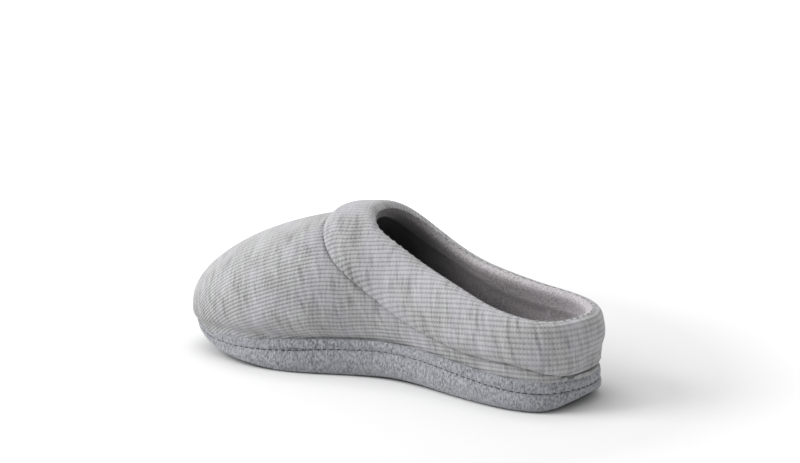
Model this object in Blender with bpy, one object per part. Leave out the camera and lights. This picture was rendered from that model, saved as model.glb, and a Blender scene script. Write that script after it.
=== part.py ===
# Low-backed knitted house slipper, right foot, standing empty on its sole.
# Metres, +Y towards the toe, +X towards the outer side of the foot, +Z up.
# The floor is z = 0 and the back of the heel lies on y = 0 before the last step centres it.
import math

import bmesh
import bpy
import numpy as np

# Driving sizes of the last and the sole
SOLE_LENGTH = 0.262
BALL_WIDTH = 0.099
SOLE_HEIGHT = 0.0227
INSTEP_HEIGHT = 0.0945
TOE_SPRING = 0.0118
HEEL_ROUNDING = 0.0070
ARCH_LIFT = 0.0012

# Sizes of the layers
OUTSOLE_THICKNESS = 0.0025
OUTSOLE_MARGIN = 0.0055
STRIP_THICKNESS = 0.0026
UPPER_WALL = 0.0030
BAND_THICKNESS = 0.0042
BAND_LIP = 0.0016
BAND_EDGE_ROLL = 0.0050
INSOLE_THICKNESS = 0.0040
INSOLE_DISH = 0.0008
INSOLE_DISH_MARGIN = 0.0110
INSOLE_EDGE_ROUND = 0.0010
OUTSOLE_EDGE_ROUND = 0.0008
PLATFORM_FLOOR_CLEARANCE = 0.0008
GIRTH_BULGE = 0.0048
GIRTH_RISE = 0.0120
SEAT_GAP = 0.0003

# Places along the sole, as shares of its length
HEEL_BREAK = 0.07
ARCH_START = 0.26
ARCH_END = 0.58
BALL_BREAK = 0.70
HEEL_CENTRE = 0.14
THROAT = 0.565
TOE_ROUNDING_START = 0.70

# Curves without a unit: powers of the toe spring and of the toe's rounding, how much of
# its thickness the band loses at its rolled seam, and how the lines up the upper turn
TOE_SPRING_POWER = 1.5
TOE_ROUNDING_POWER = 2.6
BAND_EDGE_LOSS = 0.85
PATH_TURN = np.array([0.70, 0.30])
PATH_POWER = 3
FAN_EVENNESS = 0.5

# Mesh fineness: points around the foot, points on a fine line, rows of the upper from its
# seat to the strip's top, on to the band's seam and on to the topline, rows of the band's
# lip, points over its crest, and the angle that still shades smooth
STATIONS_AROUND = 64
OUTLINE_STEPS = 1441
FINE_STEPS = 160
FOOT_STEPS = 12
FOOT_ROWS = 2
VAMP_ROWS = 9
VAMP_CROWDING = 1.35
BAND_ROWS = 6
LIP_ROWS = 2
CREST_TURNS = (36, 72, 108, 144)
SMOOTH_ANGLE = 50

# Edge of the sole in plan: share along the length, then the inner and the outer
# edge as shares of the ball width from the line through the heel
SOLE_EDGE = (
    # along, inner, outer
    (0.000, 0.010, 0.010),
    (0.024, -0.245, 0.215),
    (0.095, -0.374, 0.352),
    (0.206, -0.378, 0.375),
    (0.345, -0.315, 0.394),
    (0.500, -0.292, 0.439),
    (0.655, -0.455, 0.495),
    (0.794, -0.512, 0.465),
    (0.905, -0.440, 0.323),
    (0.976, -0.305, 0.140),
    (1.000, -0.085, -0.085),
)

# Side of the sole: share along, the seam under the strip and the top of the strip as
# shares of the sole height, and how far the upper swells past the sole's edge as a
# share of the girth bulge
SOLE_SIDE = (
    # along, seam, top, swell
    (0.00, 0.49, 0.77, -0.58),
    (0.15, 0.53, 0.84, -0.55),
    (0.33, 0.70, 0.97, -0.30),
    (0.50, 0.74, 1.00, 0.30),
    (0.66, 0.66, 0.96, 0.70),
    (0.82, 0.63, 0.90, 1.00),
    (0.92, 0.61, 0.82, 1.00),
    (1.00, 0.62, 0.77, 1.00),
)

# Side of the platform from the floor to the seam: how far each row stands out from the
# sole's edge as a share of the outsole's margin, and its height as a share of the side
PLATFORM_SIDE = (
    # outset, height
    (-0.47, 0.00),
    (-0.15, 0.13),
    (0.00, 0.36),
    (0.04, 0.62),
    (-0.02, 0.86),
    (-0.18, 1.00),
)
PLATFORM_RECESS_HEIGHT = 0.06

# Section of the strip: outset as a share of its thickness, height as a share of its own
STRIP_SIDE = (
    # outset, height
    (-1.00, 0.00),
    (-0.38, 0.00),
    (-0.04, 0.18),
    (0.12, 0.50),
    (-0.08, 0.80),
    (-0.46, 0.97),
    (-1.00, 0.93),
)

# Cross-sections of the last: share along, height of the ridge as a share of the
# instep height, squareness of the side and of the crown, lean of the ridge to the inner side
LAST_SECTIONS = (
    # along, ridge, side, crown, lean
    (0.00, 0.68, 3.2, 2.4, 0.00),
    (0.15, 0.69, 3.2, 2.4, 0.00),
    (0.30, 0.78, 2.6, 2.1, 0.04),
    (0.42, 0.90, 2.4, 2.0, 0.08),
    (0.56, 0.99, 2.3, 2.0, 0.10),
    (0.66, 0.95, 2.3, 2.0, 0.10),
    (0.78, 0.86, 2.3, 2.0, 0.06),
    (0.90, 0.77, 2.3, 2.0, 0.02),
    (1.00, 0.69, 2.3, 2.0, 0.00),
)

# Topline of the upper in side view: share along, and its height on the inner and on
# the outer side as shares of the instep height; at the throat it meets the ridge
TOPLINE = (
    # along, inner, outer
    (0.00, 0.505, 0.505),
    (0.10, 0.520, 0.520),
    (0.20, 0.560, 0.550),
    (0.30, 0.635, 0.595),
    (0.40, 0.725, 0.660),
    (0.48, 0.825, 0.770),
    (0.53, 0.905, 0.880),
)

# Lower seam of the collar band in side view, in the same shares; its last rows run
# out above the ridge so that the seam closes over the vamp
BAND_SEAM = (
    # along, height
    (0.00, 0.210),
    (0.04, 0.235),
    (0.08, 0.270),
    (0.15, 0.292),
    (0.25, 0.305),
    (0.33, 0.345),
    (0.42, 0.415),
    (0.52, 0.575),
    (0.60, 0.765),
    (0.65, 0.965),
    (0.70, 1.200),
)


def smooth_curve(stations, values, period=None):
    """Return a twice-smooth cubic through the rows, closed on itself over a period."""
    x = np.array(stations, dtype=float)
    y = np.array(values, dtype=float)
    if period is not None:
        x = np.append(x, x[0] + period)
        y = np.append(y, y[0])
    steps = np.diff(x)
    rises = np.diff(y) / steps
    count = len(x)
    matrix = np.zeros((count, count))
    target = np.zeros(count)
    for i in range(1, count - 1):
        matrix[i, i - 1] = steps[i]
        matrix[i, i] = 2 * (steps[i - 1] + steps[i])
        matrix[i, i + 1] = steps[i - 1]
        target[i] = 3 * (steps[i] * rises[i - 1] + steps[i - 1] * rises[i])
    if period is None:
        matrix[0, :2] = (2, 1)
        target[0] = 3 * rises[0]
        matrix[-1, -2:] = (1, 2)
        target[-1] = 3 * rises[-1]
    else:
        matrix[0, 1] = steps[-1]
        matrix[0, 0] = 2 * (steps[-1] + steps[0])
        matrix[0, -2] = steps[0]
        target[0] = 3 * (steps[0] * rises[-1] + steps[-1] * rises[0])
        matrix[-1, 0] = 1
        matrix[-1, -1] = -1
    slopes = np.linalg.solve(matrix, target)

    def value(at):
        at = np.asarray(at, dtype=float)
        if period is not None:
            at = x[0] + np.mod(at - x[0], period)
        place = np.clip(np.searchsorted(x, at, side="right") - 1, 0, count - 2)
        step = steps[place]
        u = (at - x[place]) / step
        return (
            y[place] * (1 + 2 * u) * (1 - u) ** 2
            + slopes[place] * step * u * (1 - u) ** 2
            + y[place + 1] * u ** 2 * (3 - 2 * u)
            - slopes[place + 1] * step * u ** 2 * (1 - u)
        )

    return value


def table_curve(table, column, end=()):
    """Return the smooth curve of one column of a table, run on to an end row."""
    rows = [(row[0], row[column]) for row in table] + list(end)
    return smooth_curve([row[0] for row in rows], [row[1] for row in rows])


def edge_curve():
    """Return the sole edge's sideways share against the turn around the sole."""
    turns = [math.acos(1 - 2 * row[0]) for row in SOLE_EDGE]
    outer = [row[2] for row in SOLE_EDGE]
    inner = [row[1] for row in SOLE_EDGE]
    around = turns + [2 * math.pi - turn for turn in turns[-2:0:-1]]
    return smooth_curve(around, outer + inner[-2:0:-1], period=2 * math.pi)


edge_share = edge_curve()
seam_share = table_curve(SOLE_SIDE, 1)
strip_top_share = table_curve(SOLE_SIDE, 2)
ridge_share = table_curve(LAST_SECTIONS, 1)
side_squareness = table_curve(LAST_SECTIONS, 2)
crown_squareness = table_curve(LAST_SECTIONS, 3)
ridge_lean = table_curve(LAST_SECTIONS, 4)
girth_swell = table_curve(SOLE_SIDE, 3)
throat_row = [(THROAT, float(ridge_share(THROAT)))]
inner_topline = table_curve(TOPLINE, 1, throat_row)
outer_topline = table_curve(TOPLINE, 2, throat_row)
band_seam_share = table_curve(BAND_SEAM, 1)


def edge(turn, outset=0.0, swell=0.0):
    """Plan points of the sole's edge at each turn, moved outwards by the outset and swell."""
    x = BALL_WIDTH * edge_share(turn)
    y = SOLE_LENGTH * (1 - np.cos(turn)) / 2
    outset = outset + swell * girth_swell(y / SOLE_LENGTH)
    nudge = 0.001
    dx = BALL_WIDTH * (edge_share(turn + nudge) - edge_share(turn - nudge))
    dy = SOLE_LENGTH * (np.cos(turn - nudge) - np.cos(turn + nudge)) / 2
    length = np.hypot(dx, dy)
    return np.stack([x + outset * dy / length, y - outset * dx / length], axis=-1)


def underside(y):
    """Height of the sole's underside: a rounded heel, a low arch and the toe spring."""
    along = y / SOLE_LENGTH
    heel = np.clip((HEEL_BREAK - along) / HEEL_BREAK, 0, None)
    arch = np.clip((along - ARCH_START) / (ARCH_END - ARCH_START), 0, 1)
    toe = np.clip((along - BALL_BREAK) / (1 - BALL_BREAK), 0, None)
    return (
        HEEL_ROUNDING * heel ** 2
        + ARCH_LIFT * np.sin(math.pi * arch) ** 2
        + TOE_SPRING * toe ** TOE_SPRING_POWER
    )


def seam_height(y):
    """Height of the seam between the sidewall and the strip."""
    return SOLE_HEIGHT * seam_share(np.clip(y / SOLE_LENGTH, 0, 1))


def strip_top(y):
    """Height of the strip's upper edge."""
    return SOLE_HEIGHT * strip_top_share(np.clip(y / SOLE_LENGTH, 0, 1))


def ridge_height(y):
    """Height of the last's ridge before the toe is rounded off."""
    return INSTEP_HEIGHT * ridge_share(np.clip(y / SOLE_LENGTH, 0, 1))


class Last:
    """The closed form that the upper is drawn over, above its widest line."""

    def __init__(self):
        turns = np.linspace(0, 2 * math.pi, OUTLINE_STEPS)
        girth = edge(turns, swell=GIRTH_BULGE)
        half = len(turns) // 2
        self.tip = girth[half, 1]
        self.outer = girth[:half + 1]
        self.inner = girth[half:][::-1]
        self.centre_y = HEEL_CENTRE * SOLE_LENGTH
        self.centre_x = self.middle(self.centre_y)[0]
        heel = girth[np.abs(girth[:, 1]) < self.centre_y]
        angles = np.arctan2(heel[:, 0] - self.centre_x, self.centre_y - heel[:, 1])
        reaches = np.hypot(heel[:, 0] - self.centre_x, self.centre_y - heel[:, 1])
        order = np.argsort(angles)
        self.heel_angles = angles[order]
        self.heel_reaches = reaches[order]

    def middle(self, y):
        """Middle line and half width of the girth at y."""
        outer = np.interp(y, self.outer[:, 1], self.outer[:, 0])
        inner = np.interp(y, self.inner[:, 1], self.inner[:, 0])
        return (outer + inner) / 2, np.maximum((outer - inner) / 2, 1e-6)

    def crown(self, y):
        """Height of the rounded ridge over y."""
        base = strip_top(y) + GIRTH_RISE
        start = TOE_ROUNDING_START * SOLE_LENGTH
        run = np.clip((y - start) / (self.tip - start), 0, 1)
        fall = np.sqrt(1 - run ** TOE_ROUNDING_POWER)
        return base + (ridge_height(y) - base) * fall

    def share_out(self, x, y):
        """Share of the way from the ridge, 0, to the girth, 1, at a plan point."""
        middle, half = self.middle(y)
        side = np.clip((x - middle) / half, -1, 1)
        lean = -ridge_lean(np.clip(y / SOLE_LENGTH, 0, 1))
        side = np.abs((side - lean) / (1 - lean * side))
        angle = np.arctan2(x - self.centre_x, self.centre_y - y)
        reach = np.interp(angle, self.heel_angles, self.heel_reaches)
        fan = np.clip(np.hypot(x - self.centre_x, self.centre_y - y) / reach, 0, 1)
        return np.where(y < self.centre_y, fan, side)

    def height(self, x, y):
        """Height of the last over a plan point inside its girth."""
        station = np.maximum(y, self.centre_y)
        along = np.clip(station / SOLE_LENGTH, 0, 1)
        base = strip_top(y) + GIRTH_RISE
        arch = 1 - self.share_out(x, y) ** side_squareness(along)
        crown = self.crown(station)
        return base + (crown - base) * np.clip(arch, 0, 1) ** (1 / crown_squareness(along))

    def topline_point(self, foot):
        """Plan point of the topline that a girth point's profile climbs to."""
        x, y = foot
        throat = THROAT * SOLE_LENGTH
        if y < self.centre_y:
            station = self.centre_y
            rim_y = y
        else:
            run = (y - self.centre_y) / (self.tip - self.centre_y)
            run += FAN_EVENNESS * (1 - (1 - run) ** 3 - run)
            station = self.centre_y + (throat - self.centre_y) * run
            rim_y = station
        along = station / SOLE_LENGTH
        base = strip_top(station) + GIRTH_RISE
        outer_side = x > self.middle(y)[0]
        topline = outer_topline if outer_side else inner_topline
        rise = INSTEP_HEIGHT * topline(rim_y / SOLE_LENGTH) - base
        rise = np.clip(rise / (self.crown(station) - base), 0, 1)
        out = (1 - rise ** crown_squareness(along)) ** (1 / side_squareness(along))
        if y < self.centre_y:
            centre = np.array([self.centre_x, self.centre_y])
            return centre + out * (np.array(foot) - centre)
        middle, half = self.middle(station)
        lean = -ridge_lean(along)
        side = out if outer_side else -out
        side = (side + lean) / (1 + lean * side)
        return np.array([middle + side * half, station])

    def profile(self, turn):
        """Fine line of the upper's skin from its seat on the sole up to the topline."""
        steps = np.linspace(0, 1, FINE_STEPS)
        girth = edge(turn, swell=GIRTH_BULGE)
        seat = edge(turn, -STRIP_THICKNESS - SEAT_GAP)
        seat_z = seam_height(seat[1]) + SEAT_GAP
        top_z = strip_top(seat[1])
        foot = [(*seat, z) for z in np.linspace(seat_z, top_z, FOOT_STEPS)[:-1]]
        out = 1 - (1 - steps[:-1]) ** 2
        flank = seat + out[:, None] * (girth - seat)
        flank_z = top_z + (strip_top(girth[1]) + GIRTH_RISE - top_z) * steps[:-1]
        rim = self.topline_point(girth)
        turning = girth + PATH_TURN * (rim - girth)
        run = (steps ** PATH_POWER)[:, None]
        over = girth * (1 - run) ** 2 + 2 * turning * run * (1 - run) + rim * run ** 2
        over_z = self.height(over[:, 0], over[:, 1])
        return np.vstack([
            foot,
            np.column_stack([flank, flank_z]),
            np.column_stack([over, over_z]),
        ])


def spread(line, start, end, count, crowding=1.0):
    """Points between two lengths along a fine line, even or crowded towards the start."""
    lengths = np.append(0, np.cumsum(np.linalg.norm(np.diff(line, axis=0), axis=1)))
    at = start + (end - start) * np.linspace(0, 1, count) ** crowding
    return np.column_stack([np.interp(at, lengths, line[:, axis]) for axis in range(3)])


def length_where(line, measure):
    """Length along a fine line at which a measure of its points first rises past zero."""
    lengths = np.append(0, np.cumsum(np.linalg.norm(np.diff(line, axis=0), axis=1)))
    place = int(np.argmax(measure > 0))
    low, high = measure[place - 1], measure[place]
    return lengths[place - 1] + (lengths[place] - lengths[place - 1]) * -low / (high - low)


def upper_skin():
    """Rows of the upper's outer skin, seat to topline, and the row of the band's seam."""
    last = Last()
    turns = np.arange(STATIONS_AROUND) * 2 * math.pi / STATIONS_AROUND
    columns = []
    for turn in turns:
        line = last.profile(turn)
        along = np.clip(line[:, 1] / SOLE_LENGTH, 0, 1)
        total = np.linalg.norm(np.diff(line, axis=0), axis=1).sum()
        strip = length_where(line, line[:, 2] - strip_top(line[0, 1]) - 1e-6)
        seam = length_where(line, line[:, 2] - INSTEP_HEIGHT * band_seam_share(along))
        columns.append(np.vstack([
            spread(line, 0, strip, FOOT_ROWS)[:-1],
            spread(line, strip, seam, VAMP_ROWS + 1, VAMP_CROWDING)[:-1],
            spread(line, seam, total, BAND_ROWS + 1),
        ]))
    return np.stack(columns, axis=1)


def outward(rows):
    """Unit normals of a skin given as rows of points around the foot."""
    around = np.roll(rows, -1, axis=1) - np.roll(rows, 1, axis=1)
    up = np.gradient(rows, axis=0)
    normals = np.cross(around, up)
    return normals / np.linalg.norm(normals, axis=2, keepdims=True)


def upright(rows, normals):
    """Unit directions in the skin that leave its last row squarely."""
    around = np.roll(rows[-1], -1, axis=0) - np.roll(rows[-1], 1, axis=0)
    climb = np.cross(normals[-1], around)
    return climb / np.linalg.norm(climb, axis=1, keepdims=True)


def add_object(name, bm, material):
    """Close a bmesh into a named object with its own material, flat quads split one way."""
    bmesh.ops.recalc_face_normals(bm, faces=bm.faces)
    bmesh.ops.triangulate(bm, faces=bm.faces, quad_method="FIXED", ngon_method="BEAUTY")
    mesh = bpy.data.meshes.new(name)
    bm.to_mesh(mesh)
    bm.free()
    mesh.materials.append(material)
    mesh.shade_smooth()
    mesh.set_sharp_from_angle(angle=math.radians(SMOOTH_ANGLE))
    piece = bpy.data.objects.new(name, mesh)
    bpy.context.scene.collection.objects.link(piece)
    return piece


def add_material(name, colour, roughness):
    """A plain finish in the piece's own colour."""
    material = bpy.data.materials.new(name)
    material.use_nodes = True
    shader = material.node_tree.nodes["Principled BSDF"]
    shader.inputs["Base Color"].default_value = (*colour, 1)
    shader.inputs["Roughness"].default_value = roughness
    shader.inputs["Metallic"].default_value = 0
    return material


def loft(bm, rows, closed):
    """Skin rows of points around the foot with quads, and join the last row to the first."""
    loops = [[bm.verts.new(point) for point in row] for row in rows]
    pairs = list(zip(loops, loops[1:]))
    if closed:
        pairs.append((loops[-1], loops[0]))
    for lower, higher in pairs:
        for i in range(len(lower)):
            j = (i + 1) % len(lower)
            bm.faces.new((lower[i], lower[j], higher[j], higher[i]))
    return loops


def cap(bm, loop):
    """Fill a loop around the foot with a ladder of quads from side to side."""
    count = len(loop)
    half = count // 2
    bm.faces.new((loop[0], loop[1], loop[count - 1]))
    for i in range(1, half - 1):
        bm.faces.new((loop[i], loop[i + 1], loop[count - i - 1], loop[count - i]))
    bm.faces.new((loop[half - 1], loop[half], loop[half + 1]))


def ring(outset, height):
    """A row of points around the sole at an outset from its edge and a height over y."""
    turns = np.arange(STATIONS_AROUND) * 2 * math.pi / STATIONS_AROUND
    plan = edge(turns, outset)
    return np.column_stack([plan, height(plan[:, 1])])


def build_outsole():
    """Thin wear sheet under the platform, flat at heel and ball."""
    rubber = add_material("outsole_rubber", (0.10, 0.10, 0.11), 0.7)
    rows = [
        ring(-OUTSOLE_MARGIN - OUTSOLE_EDGE_ROUND, underside),
        ring(-OUTSOLE_MARGIN, lambda y: underside(y) + OUTSOLE_EDGE_ROUND),
        ring(-OUTSOLE_MARGIN, lambda y: underside(y) + OUTSOLE_THICKNESS),
    ]
    bm = bmesh.new()
    loops = loft(bm, rows, closed=False)
    cap(bm, loops[0])
    cap(bm, loops[-1])
    return add_object("outsole", bm, rubber)


def build_platform():
    """Foam platform in plush cloth: its side turns under around the outsole."""
    plush = add_material("platform_plush", (0.27, 0.28, 0.31), 0.95)
    bed = OUTSOLE_THICKNESS + SEAT_GAP

    def side(share):
        return lambda y: underside(y) + PLATFORM_FLOOR_CLEARANCE + share * (
            seam_height(y) - underside(y) - PLATFORM_FLOOR_CLEARANCE
        )

    rows = [
        ring(SEAT_GAP - OUTSOLE_MARGIN, lambda y: underside(y) + bed),
        ring(SEAT_GAP - OUTSOLE_MARGIN, side(PLATFORM_RECESS_HEIGHT)),
    ]
    rows += [ring(outset * OUTSOLE_MARGIN, side(height)) for outset, height in PLATFORM_SIDE]
    bm = bmesh.new()
    loops = loft(bm, rows, closed=False)
    cap(bm, loops[0])
    cap(bm, loops[-1])
    return add_object("platform", bm, plush)


def build_strip():
    """Plush strip around the foot of the upper, stitched down to the platform."""
    plush = add_material("strip_plush", (0.28, 0.29, 0.32), 0.95)

    def side(share):
        return lambda y: seam_height(y) + SEAT_GAP + share * (
            strip_top(y) - seam_height(y) - SEAT_GAP
        )

    rows = [ring(outset * STRIP_THICKNESS, side(height)) for outset, height in STRIP_SIDE]
    bm = bmesh.new()
    loft(bm, rows, closed=True)
    return add_object("strip", bm, plush)


def build_insole():
    """Padded footbed on the platform inside the upper."""
    cloth = add_material("insole_cloth", (0.20, 0.19, 0.20), 0.95)
    margin = STRIP_THICKNESS + UPPER_WALL + 2 * SEAT_GAP

    def above(rise):
        return lambda y: seam_height(y) + SEAT_GAP + rise

    rows = [
        ring(-margin - INSOLE_EDGE_ROUND, above(0)),
        ring(-margin, above(INSOLE_EDGE_ROUND)),
        ring(-margin, above(INSOLE_THICKNESS - INSOLE_EDGE_ROUND)),
        ring(-margin - INSOLE_EDGE_ROUND, above(INSOLE_THICKNESS)),
        ring(-margin - INSOLE_DISH_MARGIN, above(INSOLE_THICKNESS - INSOLE_DISH)),
    ]
    bm = bmesh.new()
    loops = loft(bm, rows, closed=False)
    cap(bm, loops[0])
    cap(bm, loops[-1])
    return add_object("insole", bm, cloth)


def build_upper(skin, normals):
    """Knit upper: one wall from its seat over the vamp and round the quarters."""
    knit = add_material("upper_knit", (0.45, 0.45, 0.46), 0.9)
    inside = skin - UPPER_WALL * normals
    bm = bmesh.new()
    loft(bm, list(skin) + list(inside[::-1]), closed=True)
    return add_object("upper", bm, knit)


def build_band(skin, normals):
    """Padded collar band: it lies on the upper, rolls over the topline and ends inside."""
    knit = add_material("band_knit", (0.46, 0.46, 0.48), 0.9)
    base = skin[-BAND_ROWS - 1:]
    facing = normals[-BAND_ROWS - 1:]
    climb = upright(base, facing)
    lengths = np.linalg.norm(np.diff(base, axis=0), axis=2).cumsum(axis=0)
    lengths = np.concatenate([np.zeros((1, lengths.shape[1])), lengths])
    roll = np.clip(1 - lengths / BAND_EDGE_ROLL, 0, 1)
    swell = BAND_THICKNESS * np.sqrt(1 - BAND_EDGE_LOSS * roll ** 2)
    under = base + SEAT_GAP * facing
    over = under + swell[:, :, None] * facing
    crest = []
    middle = base[-1] - UPPER_WALL / 2 * facing[-1]
    outer_reach = UPPER_WALL / 2 + SEAT_GAP + BAND_THICKNESS
    inner_reach = UPPER_WALL / 2 + SEAT_GAP + BAND_LIP
    for turn in np.radians(CREST_TURNS):
        share = (1 - math.cos(turn)) / 2
        reach = outer_reach + (inner_reach - outer_reach) * share
        crest.append(
            middle
            + reach * math.cos(turn) * facing[-1]
            + (BAND_THICKNESS + SEAT_GAP) * math.sin(turn) * climb
        )
    lip = base[:-LIP_ROWS - 2:-1] - (UPPER_WALL + SEAT_GAP) * facing[:-LIP_ROWS - 2:-1]
    lining_side = lip - BAND_LIP * facing[:-LIP_ROWS - 2:-1]
    lip[0] += SEAT_GAP * climb
    under[-1] += SEAT_GAP * climb
    rows = [*over, *crest, *lining_side, *lip[::-1], *under[::-1]]
    bm = bmesh.new()
    loft(bm, rows, closed=True)
    return add_object("collar_band", bm, knit)


def centre_pieces(pieces):
    """Bring the middle of the slipper's box over the origin."""
    corners = np.array([vertex.co for piece in pieces for vertex in piece.data.vertices])
    shift = -(corners.min(axis=0) + corners.max(axis=0)) / 2
    for piece in pieces:
        for vertex in piece.data.vertices:
            vertex.co.x += shift[0]
            vertex.co.y += shift[1]


def main():
    """Build the slipper."""
    for leftover in list(bpy.data.objects):
        bpy.data.objects.remove(leftover)
    skin = upper_skin()
    normals = outward(skin)
    pieces = [
        build_outsole(),
        build_platform(),
        build_strip(),
        build_insole(),
        build_upper(skin, normals),
        build_band(skin, normals),
    ]
    centre_pieces(pieces)


main()
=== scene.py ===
"""Dresses the knitted house slipper: rib knit, padded collar, brushed lining and plush sole."""
import logging
import math
from dataclasses import dataclass, field, replace
from enum import Enum
from typing import Callable, ClassVar, Iterable

import bmesh
import bpy
import numpy as np
from mathutils import Matrix, Vector, noise
from mathutils.bvhtree import BVHTree


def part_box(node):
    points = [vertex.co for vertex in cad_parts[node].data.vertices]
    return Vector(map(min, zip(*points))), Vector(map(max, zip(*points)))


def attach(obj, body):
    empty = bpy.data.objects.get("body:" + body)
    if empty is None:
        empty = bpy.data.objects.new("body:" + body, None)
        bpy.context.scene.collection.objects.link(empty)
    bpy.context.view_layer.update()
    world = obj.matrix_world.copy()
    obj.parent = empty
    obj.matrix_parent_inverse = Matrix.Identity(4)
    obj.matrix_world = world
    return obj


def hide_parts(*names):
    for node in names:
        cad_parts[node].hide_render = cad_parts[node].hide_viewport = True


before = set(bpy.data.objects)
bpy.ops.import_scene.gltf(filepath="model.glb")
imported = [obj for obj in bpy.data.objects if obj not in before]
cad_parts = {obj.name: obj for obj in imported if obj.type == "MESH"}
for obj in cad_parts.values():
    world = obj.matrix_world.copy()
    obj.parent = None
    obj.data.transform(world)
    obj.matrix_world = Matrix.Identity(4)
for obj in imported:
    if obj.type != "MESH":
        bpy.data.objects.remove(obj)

log = logging.getLogger("slipper")

BODY = "root"
LAY = "lay"
MERGE = 1e-6
CORNER = math.radians(32)
PULLS = 2
QUARTER = math.pi / 2
Colour = tuple[float, float, float]
Test = Callable[[bmesh.types.BMFace], bool]


class Slot(Enum):
    """The record's material slots."""

    KNIT = "knit"
    PLUSH = "plush"
    LINING = "lining"
    RUBBER = "rubber"


class Side(Enum):
    """The two sides of the foot, by the sign of x."""

    INNER = -1
    OUTER = 1


class Wire:
    """A shader value that takes part in Python arithmetic."""

    def __init__(self, board: "Board", socket: bpy.types.NodeSocket) -> None:
        """Hold an output socket of a node on the board."""
        self.board = board
        self.socket = socket

    def maths(self, operation: str, *values: "Wire | float") -> "Wire":
        """Return a Math node's result on the given values."""
        inputs = dict(enumerate(values))
        return self.board.node("ShaderNodeMath", {"operation": operation}, inputs)

    def __add__(self, other: "Wire | float") -> "Wire":
        """Sum."""
        return self.maths("ADD", self, other)

    __radd__ = __add__

    def __sub__(self, other: "Wire | float") -> "Wire":
        """Difference."""
        return self.maths("SUBTRACT", self, other)

    def __rsub__(self, other: float) -> "Wire":
        """Reflected difference."""
        return self.maths("SUBTRACT", other, self)

    def __mul__(self, other: "Wire | float") -> "Wire":
        """Product."""
        return self.maths("MULTIPLY", self, other)

    __rmul__ = __mul__

    def __truediv__(self, other: "Wire | float") -> "Wire":
        """Quotient."""
        return self.maths("DIVIDE", self, other)

    def __pow__(self, power: float) -> "Wire":
        """Power."""
        return self.maths("POWER", self, power)

    def wave(self) -> "Wire":
        """Cosine wave from 0 to 1 with a crest at each whole number."""
        return 0.5 + 0.5 * self.maths("COSINE", self * math.tau)

    def off_crest(self) -> "Wire":
        """Distance from the nearest whole number, 0 to a half."""
        return self.maths("ABSOLUTE", self.maths("FRACT", self + 0.5) - 0.5)

    def limited(self) -> "Wire":
        """Clamp to the range 0 to 1."""
        return self.board.node("ShaderNodeClamp", {}, {0: self})


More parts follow.
